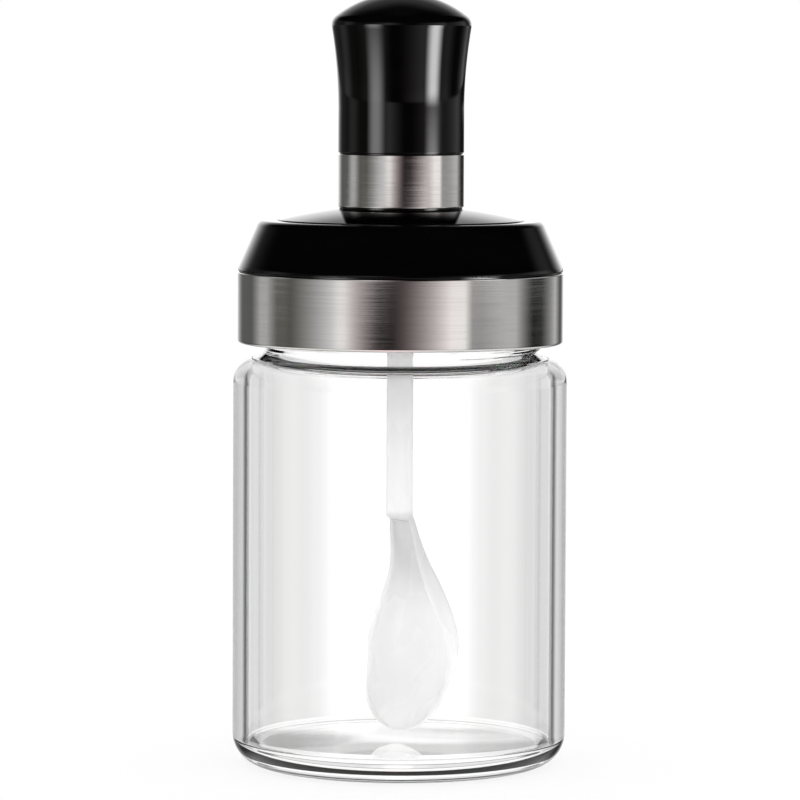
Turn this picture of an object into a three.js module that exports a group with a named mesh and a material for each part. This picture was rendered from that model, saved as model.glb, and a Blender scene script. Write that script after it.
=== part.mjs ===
// Seasoning jar: a glass body, a screw collar with a steel band, and a domed lid that lifts out of the
// collar by a tall knob and carries a scoop on a long stem.
// Millimetres, +Z up. The origin is the centre of the foot, on the surface that the jar stands on.
// The jar's front, where the scoop shows its hollow, looks along -Y.

import * as THREE from 'three';

// Fits
const seatGap = 0.3; // between any two pieces that rest on, or sit inside, each other
const smallFillet = 0.9; // below this a fillet is one flat

// Glass jar
const jarRadius = 35;
const glassWall = 2.8;
const heelRadius = 3.5;
const footWidth = 4.5; // the flat ring that the jar stands on
const footHollow = 0.8; // how far the middle of the foot is pushed up
const footHollowSlope = 5;
const floorThickness = 4.8;
const floorFillet = 5;
const shoulderHeight = 85.5;
const shoulderRadius = 5;
const shoulderWall = 1.8;
const shoulderInnerRadius = 3;
const shoulderWidth = 7; // from the body's side in to the neck
const neckHeight = 10.5;
const neckWall = 2.8;
const neckRootFillet = 1;
const neckMouthFillet = 2;
const rimRound = 1.2;

// Gasket between the glass rim and the collar
const gasketThickness = 1.2;

// Threaded insert of the collar
const threadClearance = 1.5; // room between the neck and the skirt, which the two threads fill
const skirtWall = 1.9;
const skirtClearance = 0.3; // from the skirt's edge down to the glass shoulder
const webThickness = 1.7;
const mouthStep = 1; // how far the way through the collar is narrower than the neck
const insertRound = 0.4;

// Collar shell, with the sloping bezel that shows above the band
const shellWall = 1.6;
const seatTubeLength = 12.7;
const lidRecess = 1.8;
const bezelHeight = 10.5;
const bezelInset = 0.1; // the bezel's foot lies just inside the band's face
const bezelFootLand = 0.52;
const bezelSlopeWidth = 4.4; // from the foot in to where the slope would meet the flat top
const bezelCornerRound = 1.5;
const bezelFootRound = 2;
const seamRound = 0.4;

// Steel band round the collar
const bandSheet = 0.5;
const bandRise = 2.9; // how much of the skirt shows below the band
const bandCurl = 0.7;
const bandLipClearance = 0.9; // from the curled lip in to the skirt
const bandEdgeRound = 0.15;

// Lid
const lidWall = 1.6;
const lidEdgeHeight = 1.9;
const lidEdgeRound = 0.6;
const lidCrown = 2.9; // rise of the dome from its edge to where its middle would be
const knobSink = 0.9; // how deep the knob's foot sits in the dome

// Plug under the lid
const plugClearance = 1; // to the collar's mouth; the seal bridges it
const plugWall = 1.5;
const plugDepth = 10.8;
const plugCornerRound = 1.2;
const plugTowerWall = 2.9;
const plugTowerCap = 5.3;
const plugRootFillet = 0.6;
const socketWall = 1.8;
const socketDrop = 3.5; // how far the stem's socket stands out below the plug
const sealGrooveDepth = 0.9;
const sealHeight = 2;
const sealDrop = 4.5; // from the lid's edge down to the top of the seal
const sealRound = 0.6;

// Knob
const knobBandRadius = 13.15;
const knobBandHeight = 11;
const knobFlangeInset = 0.55;
const knobFlangeEdge = 0.3;
const knobFlangeHeight = 0.64;
const spigotStep = 1.35;
const spigotHeight = 5.8;
const gripHeight = 33.3;
const gripFlareStart = 9.5; // height at which the waist starts to flare
const gripHeadHeight = 6.9; // from the widest place up to the crown
const gripFlare = 1.48;
const gripDomeRadius = 22;
const gripEdgeWidth = 0.88; // how far in from its widest the rounded top edge reaches
const gripTopWall = 5.7;
const gripCeilingFillet = 2;
const gripBossRadius = 5;
const gripBossBore = 7.7;
const gripFlarePower = 1.9;

// Screw that clamps plug, lid and knob together from below
const screwRadius = 1.6;
const screwHeadClearance = 0.35;
const screwHeadHeight = 1.8;
const screwHeadRound = 0.4;
const screwPoint = 0.6;

// Spoon
const stemRadius = 2.8;
const stemChamfer = 0.5;
const tipClearance = 2.2; // from the scoop's tip to the glass floor
const scoopLength = 45.4;
const scoopHalfWidth = 11.6;
const scoopDepth = 10.5;
const scoopSetBack = 3; // how far the open rim lies behind the stem's axis
const scoopWall = 1.2;
const scoopTurn = 40; // degrees that the hollow is turned from the front towards -X

// Stations of the scoop, tip first. Each holds the share of the scoop's length at which it lies, then the
// shares of its half width, its depth and its set-back that it has there. The stem closes the list.
const scoopStationShares = [
  [0, 0.1, 0.11, -0.22],
  [0.012, 0.28, 0.14, -0.2],
  [0.04, 0.48, 0.19, -0.15],
  [0.1, 0.71, 0.28, 0.07],
  [0.17, 0.86, 0.4, 0.42],
  [0.245, 0.96, 0.54, 0.85],
  [0.34, 1, 0.76, 1],
  [0.43, 0.965, 0.93, 0.95],
  [0.52, 0.81, 1, 0.85],
  [0.6, 0.65, 0.96, 0.76],
  [0.68, 0.5, 0.82, 0.73],
  [0.76, 0.4, 0.6, 0.67],
  [0.84, 0.345, 0.42, 0.48],
  [0.92, 0.3, 0.32, 0.22],
  [1, stemRadius / scoopHalfWidth, stemRadius / scoopDepth, 0],
];
const hollowEndShares = [0.93, 1]; // over this stretch of the scoop the hollow runs out into the stem
const rimWidthShare = 0.3; // widest that the scoop's rim may be, as a share of its half width

// Facets
const bodySegments = 44;
const knobSegments = 36;
const screwSegments = 16;
const filletStep = Math.PI / 6;
const smallFilletStep = Math.PI / 2;
const scoopRings = 28;
const scoopArcSteps = 10;
const stemSideAngle = Math.PI / 15;
const domeSteps = 4;
const gripSteps = 4;

// Levels, each worked out from the piece below it
const jarHeight = shoulderHeight + neckHeight;
const skirtBottom = shoulderHeight + skirtClearance;
const bandBottom = skirtBottom + bandRise;
const gasketBottom = jarHeight + seatGap;
const gasketTop = gasketBottom + gasketThickness;
const webBottom = gasketTop + seatGap;
const webTop = webBottom + webThickness;
const seatTubeBottom = webTop + seatGap;
const ledge = seatTubeBottom + seatTubeLength;
const collarTop = ledge + lidRecess;
const bezelFoot = collarTop - bezelHeight;
const bandTop = bezelFoot - seatGap;
const lidEdgeBottom = ledge + seatGap;
const lidEdgeTop = lidEdgeBottom + lidEdgeHeight;

// Radii, each worked out from its neighbour
const neckRadius = jarRadius - shoulderWidth;
const neckInner = neckRadius - neckWall;
const mouthRadius = neckInner - mouthStep; // the way through the collar once the lid is out
const skirtInner = neckRadius + threadClearance;
const skirtOuter = skirtInner + skirtWall;
const sleeveInner = skirtOuter + seatGap;
const sleeveOuter = sleeveInner + shellWall;
const bandInner = sleeveOuter + seatGap;
const bandRadius = bandInner + bandSheet;
const bezelFootRadius = bandRadius - bezelInset;
const bezelTopRadius = bezelFootRadius - bezelSlopeWidth;
const seamRadius = mouthRadius + shellWall;
const lidRadius = seamRadius - seatGap;
const plugRadius = mouthRadius - plugClearance;
const knobBandInner = knobBandRadius - bandSheet;
const knobCoreRadius = knobBandInner - seatGap;
const knobFlangeRadius = knobBandRadius - knobFlangeInset;
const knobLandRadius = knobFlangeRadius + seatGap;
const spigotRadius = knobCoreRadius - spigotStep;
const gripTopRadius = knobBandRadius + gripFlare;
const screwHole = screwRadius + seatGap;
const socketRadius = stemRadius + seatGap;
const screwHeadRadius = socketRadius - screwHeadClearance;
const plugTowerRadius = socketRadius + plugTowerWall;

const lidCrownAt = (radius) => lidEdgeTop + lidCrown * (1 - (radius / lidRadius) ** 2);
const knobLand = lidCrownAt(knobLandRadius) - knobSink;
const knobFoot = knobLand + seatGap;
const knobFlangeTop = knobFoot + knobFlangeHeight;
const knobBandBottom = knobFlangeTop + seatGap;
const knobBandTop = knobBandBottom + knobBandHeight;
const gripBottom = knobBandTop + seatGap;
const gripBossBottom = knobBandTop + spigotHeight + seatGap;
const boreEnd = gripBossBottom + gripBossBore;

const plugTowerTop = knobLand - lidWall - seatGap;
const socketCeiling = plugTowerTop - plugTowerCap;
const screwHeadTop = socketCeiling - seatGap;
const screwHeadBottom = screwHeadTop - screwHeadHeight;
const stemTop = screwHeadBottom - seatGap;
const plugBottom = lidEdgeBottom - plugDepth;
const socketMouth = plugBottom - socketDrop;
const sealTop = lidEdgeBottom - sealDrop;
const scoopTip = floorThickness + tipClearance;

// Materials
const plainGlass = new THREE.MeshStandardMaterial({
  color: 0xeef2f1, roughness: 0.03, metalness: 0, transparent: true, opacity: 0.35,
});
const glossBlack = new THREE.MeshStandardMaterial({ color: 0x0b0b0c, roughness: 0.12, metalness: 0 });
const mouldedBlack = new THREE.MeshStandardMaterial({ color: 0x161617, roughness: 0.45, metalness: 0 });
const brushedSteel = new THREE.MeshStandardMaterial({ color: 0xbab7b2, roughness: 0.26, metalness: 1 });
const zincSteel = new THREE.MeshStandardMaterial({ color: 0x9c9c9a, roughness: 0.35, metalness: 1 });
const clearSilicone = new THREE.MeshStandardMaterial({ color: 0xdedfdb, roughness: 0.5, metalness: 0 });
const milkyPlastic = new THREE.MeshStandardMaterial({ color: 0xf1f2f2, roughness: 0.28, metalness: 0 });

// Turns corners [radius, height, fillet] into the points of an outline, with each fillet as a true arc.
// Two fillets that meet on one side share it by their sizes, so that neither runs past the other.
function outline(corners) {
  const pick = (index) => corners[(index + corners.length) % corners.length];
  const at = (index) => new THREE.Vector2(...pick(index).slice(0, 2));
  const room = (index, neighbour) => {
    const [, , own = 0] = pick(index);
    const [, , other = 0] = pick(neighbour);
    return (at(index).distanceTo(at(neighbour)) * own) / (own + other);
  };
  return corners.flatMap(([, , fillet = 0], index) => {
    const corner = at(index);
    if (fillet === 0) return [corner];
    const back = at(index - 1).sub(corner).normalize();
    const on = at(index + 1).sub(corner).normalize();
    const half = Math.acos(back.dot(on)) / 2;
    const reach = Math.min(fillet / Math.tan(half), room(index, index - 1), room(index, index + 1));
    const centre = back.clone().add(on).normalize().multiplyScalar(reach / Math.cos(half)).add(corner);
    const start = back.multiplyScalar(reach).add(corner).sub(centre);
    const end = on.multiplyScalar(reach).add(corner).sub(centre);
    const sweep = Math.atan2(start.cross(end), start.dot(end));
    const steps = Math.ceil(Math.abs(sweep) / (fillet < smallFillet ? smallFilletStep : filletStep));
    return Array.from({ length: steps + 1 }, (_, step) => (
      start.clone().rotateAround(new THREE.Vector2(), (sweep * step) / steps).add(centre)));
  });
}

// Revolves an outline that runs outwards along its bottom, up its outside and back in along its top
function revolve(points, segments) {
  const ends = [points[0], points[points.length - 1]];
  const closed = ends.some((end) => end.x !== 0) ? [...points, points[0].clone()] : points;
  return new THREE.LatheGeometry(closed, segments).rotateX(Math.PI / 2);
}

function piece(name, geometry, material) {
  const mesh = new THREE.Mesh(geometry, material);
  mesh.name = name;
  return mesh;
}

function glassJar() {
  const footInner = jarRadius - heelRadius - footWidth;
  const innerRadius = jarRadius - glassWall;
  const shoulderUnder = shoulderHeight - shoulderWall;
  return revolve(outline([
    [0, footHollow],
    [footInner - footHollowSlope, footHollow],
    [footInner, 0],
    [jarRadius, 0, heelRadius],
    [jarRadius, shoulderHeight, shoulderRadius],
    [neckRadius, shoulderHeight, neckRootFillet],
    [neckRadius, jarHeight, rimRound],
    [neckInner, jarHeight, rimRound],
    [neckInner, shoulderUnder, neckMouthFillet],
    [innerRadius, shoulderUnder, shoulderInnerRadius],
    [innerRadius, floorThickness, floorFillet],
    [0, floorThickness],
  ]), bodySegments);
}

function neckGasket() {
  const outer = skirtInner - seatGap;
  return revolve(outline([
    [neckInner, gasketBottom],
    [outer, gasketBottom],
    [outer, gasketTop],
    [neckInner, gasketTop],
  ]), bodySegments);
}

function collarThreadInsert() {
  return revolve(outline([
    [skirtInner, skirtBottom, insertRound],
    [skirtOuter, skirtBottom, insertRound],
    [skirtOuter, webTop, insertRound],
    [mouthRadius, webTop, insertRound],
    [mouthRadius, webBottom, insertRound],
    [skirtInner, webBottom],
  ]), bodySegments);
}

function collarShell() {
  const slopeStart = bezelFoot + bezelFootLand;
  const slope = (bezelFootRadius - bezelTopRadius) / (collarTop - slopeStart);
  const slopeWall = shellWall * Math.hypot(1, slope); // the wall, measured level across the slope
  const innerSlopeAt = (height) => bezelFootRadius - slope * (height - slopeStart) - slopeWall;
  const ceiling = ledge - shellWall;
  const innerSlopeFoot = slopeStart + (bezelFootRadius - slopeWall - sleeveInner) / slope;
  const sleeveBottom = bandBottom + bandSheet + seatGap;
  return revolve(outline([
    [mouthRadius, seatTubeBottom],
    [seamRadius, seatTubeBottom],
    [seamRadius, ceiling],
    [innerSlopeAt(ceiling), ceiling],
    [sleeveInner, innerSlopeFoot],
    [sleeveInner, sleeveBottom],
    [sleeveOuter, sleeveBottom],
    [sleeveOuter, bezelFoot],
    [bezelFootRadius, bezelFoot],
    [bezelFootRadius, slopeStart, bezelFootRound],
    [bezelTopRadius, collarTop, bezelCornerRound],
    [seamRadius, collarTop, seamRound],
    [seamRadius, ledge],
    [mouthRadius, ledge],
  ]), bodySegments);
}

function collarBand() {
  const lipInner = skirtOuter + bandLipClearance;
  const lipTop = bandBottom + bandSheet;
  return revolve(outline([
    [lipInner, bandBottom],
    [bandRadius, bandBottom, bandCurl],
    [bandRadius, bandTop, bandEdgeRound],
    [bandInner, bandTop],
    [bandInner, lipTop, bandCurl - bandSheet],
    [lipInner, lipTop],
  ]), bodySegments);
}

function lidCap() {
  const rimInner = plugRadius + seatGap;
  const under = knobLand - lidWall;
  const domeEdge = lidRadius - lidEdgeRound;
  const dome = Array.from({ length: domeSteps + 1 }, (_, step) => {
    const radius = THREE.MathUtils.lerp(domeEdge, knobLandRadius, step / domeSteps);
    return [radius, lidCrownAt(radius)];
  });
  return revolve(outline([
    [screwHole, under],
    [knobLandRadius, under],
    [rimInner, lidCrownAt(rimInner) - lidWall],
    [rimInner, lidEdgeBottom],
    [lidRadius, lidEdgeBottom],
    [lidRadius, lidEdgeTop - lidEdgeRound],
    ...dome,
    [knobLandRadius, knobLand],
    [screwHole, knobLand],
  ]), bodySegments);
}

function lidPlug() {
  const skirtInside = plugRadius - plugWall;
  const skirtTop = lidCrownAt(plugRadius) - lidWall - seatGap;
  const floorTop = plugBottom + plugWall;
  const grooveRadius = plugRadius - sealGrooveDepth;
  const grooveTop = sealTop + seatGap;
  const grooveBottom = sealTop - sealHeight - seatGap;
  const socketOuter = socketRadius + socketWall;
  return revolve(outline([
    [socketRadius, socketMouth],
    [socketOuter, socketMouth, plugRootFillet],
    [socketOuter, plugBottom, plugRootFillet],
    [plugRadius, plugBottom, plugCornerRound],
    [plugRadius, grooveBottom],
    [grooveRadius, grooveBottom],
    [grooveRadius, grooveTop],
    [plugRadius, grooveTop],
    [plugRadius, skirtTop],
    [skirtInside, skirtTop],
    [skirtInside, floorTop],
    [plugTowerRadius, floorTop, plugRootFillet],
    [plugTowerRadius, plugTowerTop],
    [screwHole, plugTowerTop],
    [screwHole, socketCeiling],
    [socketRadius, socketCeiling],
  ]), bodySegments);
}

function lidSeal() {
  const inner = plugRadius - sealGrooveDepth + seatGap;
  const outer = mouthRadius - seatGap;
  const bottom = sealTop - sealHeight;
  return revolve(outline([
    [inner, bottom],
    [outer, bottom, sealRound],
    [outer, sealTop, sealRound],
    [inner, sealTop],
  ]), bodySegments);
}

function knobCore() {
  const spigotTop = knobBandTop + spigotHeight;
  return revolve(outline([
    [screwHole, knobFoot],
    [knobFlangeRadius, knobFoot, knobFlangeEdge],
    [knobFlangeRadius, knobFlangeTop],
    [knobCoreRadius, knobFlangeTop],
    [knobCoreRadius, knobBandTop],
    [spigotRadius, knobBandTop],
    [spigotRadius, spigotTop],
    [screwHole, spigotTop],
  ]), knobSegments);
}

function knobBand() {
  return revolve(outline([
    [knobBandInner, knobBandBottom],
    [knobBandRadius, knobBandBottom, bandEdgeRound],
    [knobBandRadius, knobBandTop, bandEdgeRound],
    [knobBandInner, knobBandTop],
  ]), knobSegments);
}

// The handle's waisted outside: straight, then a flare that quickens towards the top edge
function gripSide() {
  return Array.from({ length: gripSteps + 1 }, (_, step) => {
    const share = step / gripSteps;
    const radius = THREE.MathUtils.lerp(knobBandRadius, gripTopRadius, share ** gripFlarePower);
    return [radius, gripBottom + THREE.MathUtils.lerp(gripFlareStart, gripHeight - gripHeadHeight, share)];
  });
}

// The rounded top edge, tangent to the widest part and to the dome, and then the dome
function gripDome() {
  const edge = gripTopRadius - gripEdgeWidth;
  const top = gripBottom + gripHeight;
  const slope = Math.asin(edge / gripDomeRadius);
  const heightAt = (radius) => top - gripDomeRadius + Math.sqrt(gripDomeRadius ** 2 - radius ** 2);
  const reach = gripEdgeWidth / Math.cos(slope);
  const corner = [
    gripTopRadius,
    heightAt(edge) - gripEdgeWidth * Math.tan(slope),
    reach / Math.tan((Math.PI / 2 - slope) / 2),
  ];
  const dome = Array.from({ length: gripSteps }, (_, step) => {
    const radius = edge * (1 - (step + 1) / gripSteps);
    return [radius, heightAt(radius)];
  });
  return [corner, ...dome];
}

function knobGrip() {
  const socket = spigotRadius + seatGap;
  const ceiling = gripBottom + gripHeight - gripTopWall;
  return revolve(outline([
    [0, boreEnd],
    [screwHole, boreEnd],
    [screwHole, gripBossBottom],
    [gripBossRadius, gripBossBottom],
    [gripBossRadius, ceiling],
    [socket, ceiling, gripCeilingFillet],
    [socket, gripBottom],
    [knobBandRadius, gripBottom],
    ...gripSide(),
    ...gripDome(),
  ]), knobSegments);
}

function knobScrew() {
  const pointTop = boreEnd - screwPoint;
  return revolve(outline([
    [0, screwHeadBottom],
    [screwHeadRadius, screwHeadBottom, screwHeadRound],
    [screwHeadRadius, screwHeadTop],
    [screwRadius, screwHeadTop],
    [screwRadius, pointTop - screwPoint],
    [0, pointTop],
  ]), screwSegments);
}

// One ring of the spoon: the back of the scoop from side to side, then its hollow the other way. Where
// the scoop ends, the hollow's half swells forward until the ring is the round of the stem.
function scoopRing({ halfWidth, depth, setBack, height, runOut }) {
  const hollowWidth = halfWidth - Math.min(scoopWall, halfWidth * rimWidthShare);
  const hollowDepth = Math.max(depth - scoopWall, 0);
  const ring = [];
  for (let step = 0; step <= scoopArcSteps; step += 1) {
    const angle = (Math.PI * step) / scoopArcSteps;
    ring.push(new THREE.Vector3(halfWidth * Math.cos(angle), setBack + depth * Math.sin(angle), height));
  }
  for (let step = 0; step <= scoopArcSteps; step += 1) {
    const angle = Math.PI * (1 - step / scoopArcSteps);
    const front = THREE.MathUtils.lerp(Math.PI - stemSideAngle, stemSideAngle, step / scoopArcSteps);
    const hollow = new THREE.Vector3(
      hollowWidth * Math.cos(angle), setBack + hollowDepth * Math.sin(angle), height);
    const round = new THREE.Vector3(stemRadius * Math.cos(front), -stemRadius * Math.sin(front), height);
    ring.push(hollow.lerp(round, runOut));
  }
  return ring;
}

function stemRing(radius, height) {
  return scoopRing({ halfWidth: radius, depth: radius, setBack: 0, height, runOut: 1 });
}

// Joins rings of equal count into one closed skin, with a flat face over the first and the last ring
function loft(rings) {
  const count = rings[0].length;
  const triangles = [];
  for (let row = 0; row + 1 < rings.length; row += 1) {
    for (let step = 0; step < count; step += 1) {
      const next = (step + 1) % count;
      const [a, b] = [row * count + step, row * count + next];
      triangles.push(a, b, b + count, a, b + count, a + count);
    }
  }
  const flat = (ring) => ring.map(({ x, y }) => new THREE.Vector2(x, y));
  const face = (ring) => THREE.ShapeUtils.triangulateShape(flat(ring), []);
  const last = count * (rings.length - 1);
  face(rings[0]).forEach(([a, b, c]) => triangles.push(a, c, b));
  face(rings[rings.length - 1]).forEach(([a, b, c]) => triangles.push(last + a, last + b, last + c));
  return new THREE.BufferGeometry().setFromPoints(rings.flat()).setIndex(triangles);
}

function spoon() {
  const through = (points) => new THREE.CatmullRomCurve3(points, false, 'catmullrom');
  const shape = through(scoopStationShares.map(([along, width, depth]) => (
    new THREE.Vector3(scoopLength * along, scoopHalfWidth * width, scoopDepth * depth))));
  const rim = through(scoopStationShares.map(([along, , , back]) => (
    new THREE.Vector3(scoopLength * along, scoopSetBack * back, 0))));
  const rings = [];
  for (let step = 0; step <= scoopRings; step += 1) {
    const { x: along, y: halfWidth, z: depth } = shape.getPoint(step / scoopRings);
    const setBack = rim.getPoint(step / scoopRings).y;
    const runOut = THREE.MathUtils.smoothstep(along / scoopLength, ...hollowEndShares);
    rings.push(scoopRing({ halfWidth, depth, setBack, height: scoopTip + along, runOut }));
  }
  rings.push(stemRing(stemRadius, stemTop - stemChamfer));
  rings.push(stemRing(stemRadius - stemChamfer, stemTop));
  return loft(rings);
}

function spoonPiece() {
  const mesh = piece('spoon', spoon(), milkyPlastic);
  mesh.rotation.z = -THREE.MathUtils.degToRad(scoopTurn);
  return mesh;
}

const collar = new THREE.Group();
collar.add(
  piece('neck_gasket', neckGasket(), clearSilicone),
  piece('collar_thread_insert', collarThreadInsert(), mouldedBlack),
  piece('collar_shell', collarShell(), glossBlack),
  piece('collar_band', collarBand(), brushedSteel),
);

const lid = new THREE.Group();
lid.add(
  piece('lid_cap', lidCap(), glossBlack),
  piece('lid_plug', lidPlug(), mouldedBlack),
  piece('lid_seal', lidSeal(), clearSilicone),
  piece('knob_core', knobCore(), glossBlack),
  piece('knob_band', knobBand(), brushedSteel),
  piece('knob_grip', knobGrip(), glossBlack),
  piece('knob_screw', knobScrew(), zincSteel),
  spoonPiece(),
);

const jar = new THREE.Group();
jar.add(piece('glass_jar', glassJar(), plainGlass), collar, lid);

export default jar;
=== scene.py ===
import math
from collections import namedtuple

import bpy
from mathutils import Matrix, Vector


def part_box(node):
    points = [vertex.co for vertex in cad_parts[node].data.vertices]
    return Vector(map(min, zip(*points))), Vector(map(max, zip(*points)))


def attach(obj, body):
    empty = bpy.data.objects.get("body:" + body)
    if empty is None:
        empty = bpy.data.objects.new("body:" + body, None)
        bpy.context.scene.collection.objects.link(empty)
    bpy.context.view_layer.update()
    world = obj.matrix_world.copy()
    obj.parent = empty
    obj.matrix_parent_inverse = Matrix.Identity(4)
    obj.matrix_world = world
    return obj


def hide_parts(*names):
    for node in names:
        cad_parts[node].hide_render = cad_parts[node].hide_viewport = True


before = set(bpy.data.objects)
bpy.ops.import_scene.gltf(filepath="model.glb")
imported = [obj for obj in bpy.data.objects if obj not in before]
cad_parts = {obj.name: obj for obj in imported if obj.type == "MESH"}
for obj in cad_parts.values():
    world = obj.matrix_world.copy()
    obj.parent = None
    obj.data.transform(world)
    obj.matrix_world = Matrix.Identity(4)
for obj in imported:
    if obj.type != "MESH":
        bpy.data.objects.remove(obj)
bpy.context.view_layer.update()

bl_info = {
    "name": "Seasoning jar",
    "version": (1, 0, 0),
    "blender": (4, 5, 0),
    "location": "3D View > Sidebar > Jar",
    "description": "Builds a glass seasoning jar with a lift-out spoon lid around its packed model",
    "category": "Object",
}

MM = 0.001
Size = namedtuple("Size", "radius bottom top")


def size(node):
    """Radius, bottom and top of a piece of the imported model, in millimetres."""
    low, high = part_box(node)
    return Size(high.x / MM, low.z / MM, high.z / MM)


# Lengths are in millimetres, and in metres where they go into Blender

SEAT_GAP = 0.3  # between two pieces that are seated in each other
SEAM = 0.03  # between two pieces where a seam shows
SUPPORT = 0.12  # distance of the extra point on each side of a rounding
ARC_STEP = math.radians(8)
SHARP_ANGLE = math.radians(35)
ROUND_SEGMENTS = 240
SMALL_SEGMENTS = 128
ON_AXIS = 1e-6


# Node trees

def calculation(operation, swapped=False):
    """A method that calculates with a wire and what stands on its other side."""
    def method(self, other):
        return self.math(operation, *((other, self) if swapped else (self, other)))
    return method


class Wire:
    """An output of a node, which Python's operators can calculate with."""

    def __init__(self, tree, socket):
        self.tree = tree
        self.socket = socket

    def out(self, name):
        """Another output of the same node."""
        return Wire(self.tree, self.socket.node.outputs[name])

    def math(self, operation, *values):
        return add_node(self.tree, "ShaderNodeMath", dict(enumerate(values)), operation=operation)

    __add__, __radd__ = calculation("ADD"), calculation("ADD", swapped=True)
    __sub__, __rsub__ = calculation("SUBTRACT"), calculation("SUBTRACT", swapped=True)
    __mul__, __rmul__ = calculation("MULTIPLY"), calculation("MULTIPLY", swapped=True)
    __truediv__ = calculation("DIVIDE")
    __gt__ = calculation("GREATER_THAN")
    __lt__ = calculation("LESS_THAN")

    def __neg__(self):
        return self * -1.0

    def __abs__(self):
        return self.math("ABSOLUTE", self)

    def nearest(self):
        """The nearest whole number."""
        return self.math("ROUND", self)

    def ramp(self, low, high):
        """0 at low, 1 at high, a smooth slope between them and level on both sides."""
        return add_node(self.tree, "ShaderNodeMapRange", {
            "Value": self, "From Min": low, "From Max": high, "To Min": 0.0, "To Max": 1.0},
            interpolation_type="SMOOTHSTEP", clamp=True)


def add_node(tree, kind, sockets=None, **settings):
    """Adds a node: its settings first, a ramp's stops among them, then its sockets' values or
    links. Returns its first output that is switched on."""
    node = tree.nodes.new(kind)
    for name, value in settings.items():
        if name != "stops":
            setattr(node, name, value)
            continue
        elements = node.color_ramp.elements
        elements.remove(elements[1])
        for position, colour in value:
            element = elements.new(position) if position > 0 else elements[0]
            element.color = colour
    for name, value in (sockets or {}).items():
        if isinstance(value, Wire):
            tree.links.new(value.socket, node.inputs[name])
        else:
            node.inputs[name].default_value = value
    outputs = [output for output in node.outputs if output.enabled]
    return Wire(tree, outputs[0]) if outputs else None


def blend(first, second, share):
    return first + (second - first) * share


def grey(level):
    return (level, level, level, 1.0)


def mix_colour(tree, factor, first, second, mode="MIX"):
    wire = add_node(tree, "ShaderNodeMix", {0: factor, 6: first, 7: second},
                    data_type="RGBA", blend_type=mode)
    return Wire(tree, wire.socket.node.outputs[2])


def empty_tree(owner):
    """The node tree of a material, a world or a light, without the nodes that it starts with."""
    owner.use_nodes = True
    owner.node_tree.nodes.clear()
    return owner.node_tree


def new_material(name, **sockets):
    """A material with one Principled shader, some of whose sockets are set."""
    material = bpy.data.materials.new(name)
    tree = empty_tree(material)
    shader = tree.nodes.new("ShaderNodeBsdfPrincipled")
    output = tree.nodes.new("ShaderNodeOutputMaterial")
    tree.links.new(shader.outputs["BSDF"], output.inputs["Surface"])
    for name, value in sockets.items():
        shader.inputs[name.replace("_", " ")].default_value = value
    return material, tree, shader


def feed(shader, socket, wire):
    wire.tree.links.new(wire.socket, shader.inputs[socket])


def object_place(tree):
    return add_node(tree, "ShaderNodeTexCoord").out("Object")


def axes(vector):
    split = add_node(vector.tree, "ShaderNodeSeparateXYZ", {"Vector": vector})
    return [split.out(axis) for axis in "XYZ"]


def noise(tree, scale, detail=4.0, roughness=0.5):
    """Noise on object coordinates that are stretched by a scale on each axis."""
    stretched = add_node(tree, "ShaderNodeMapping", {
        "Vector": object_place(tree), "Scale": scale})
    return add_node(tree, "ShaderNodeTexNoise", {
        "Vector": stretched, "Scale": 1.0, "Detail": detail, "Roughness": roughness})


def bump(shader, height, strength, distance):
    feed(shader, "Normal", add_node(height.tree, "ShaderNodeBump", {
        "Height": height, "Strength": strength, "Distance": distance}))


# Finishes

def clear_glass(settings):
    """Soda-lime glass with the slight waviness of a pressed wall."""
    material, tree, shader = new_material(
        "clear glass", Base_Color=(*settings.glass_tint, 1.0), Transmission_Weight=1.0,
        Roughness=0.0, IOR=1.47)
    wave = noise(tree, (26, 26, 11), detail=1.0)
    bump(shader, wave, strength=settings.glass_wave, distance=0.0006)
    return material


def gloss_black(settings):
    """Polished black plastic, with faint handling marks in its gloss."""
    material, tree, shader = new_material("gloss black plastic", IOR=1.33)
    black, marked = (*settings.black_colour, 1.0), grey(0.0016)
    marks = noise(tree, (60, 60, 220), detail=5.0, roughness=0.6)
    feed(shader, "Roughness", settings.black_roughness + marks.ramp(0.45, 0.8) * 0.05)
    feed(shader, "Base Color", mix_colour(tree, marks.ramp(0.3, 0.75), black, marked))
    flow = noise(tree, (40, 40, 40), detail=2.0)
    bump(shader, flow, strength=0.05, distance=0.0003)
    return material


def moulded_black(_settings):
    """Unpolished black plastic with a fine spark-eroded grain."""
    material, tree, shader = new_material("moulded black plastic")
    grain = noise(tree, (2600, 2600, 2600), detail=2.0)
    patches = noise(tree, (90, 90, 140))
    feed(shader, "Roughness", 0.36 + patches.ramp(0.3, 0.8) * 0.14)
    feed(shader, "Base Color", mix_colour(tree, patches, grey(0.006), grey(0.012)))
    bump(shader, grain, strength=0.25, distance=0.00006)
    return material


def brushed_steel(settings):
    """Stainless sheet, brushed round the band: the scratches run level and change quickly with
    height."""
    material, tree, shader = new_material("brushed steel", Metallic=1.0)
    light, dark = (*settings.steel_light, 1.0), (*settings.steel_dark, 1.0)
    fine = noise(tree, (30, 30, 5200), detail=2.0)
    broad = noise(tree, (40, 40, 1500), detail=3.0)
    feed(shader, "Base Color", mix_colour(tree, broad.ramp(0.3, 0.7), dark, light))
    feed(shader, "Roughness", settings.steel_roughness + fine.ramp(0.35, 0.7) * 0.04)
    bump(shader, fine, strength=settings.brush_depth, distance=0.00003)
    return material


def zinc_steel(_settings):
    """Zinc-plated steel, a little cloudy."""
    material, tree, shader = new_material("zinc-plated steel", Metallic=1.0)
    dull, bright = (0.42, 0.43, 0.44, 1.0), (0.62, 0.62, 0.6, 1.0)
    cloud = noise(tree, (700, 700, 700))
    feed(shader, "Base Color", mix_colour(tree, cloud, dull, bright))
    feed(shader, "Roughness", 0.26 + cloud.ramp(0.3, 0.7) * 0.16)
    return material


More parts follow.
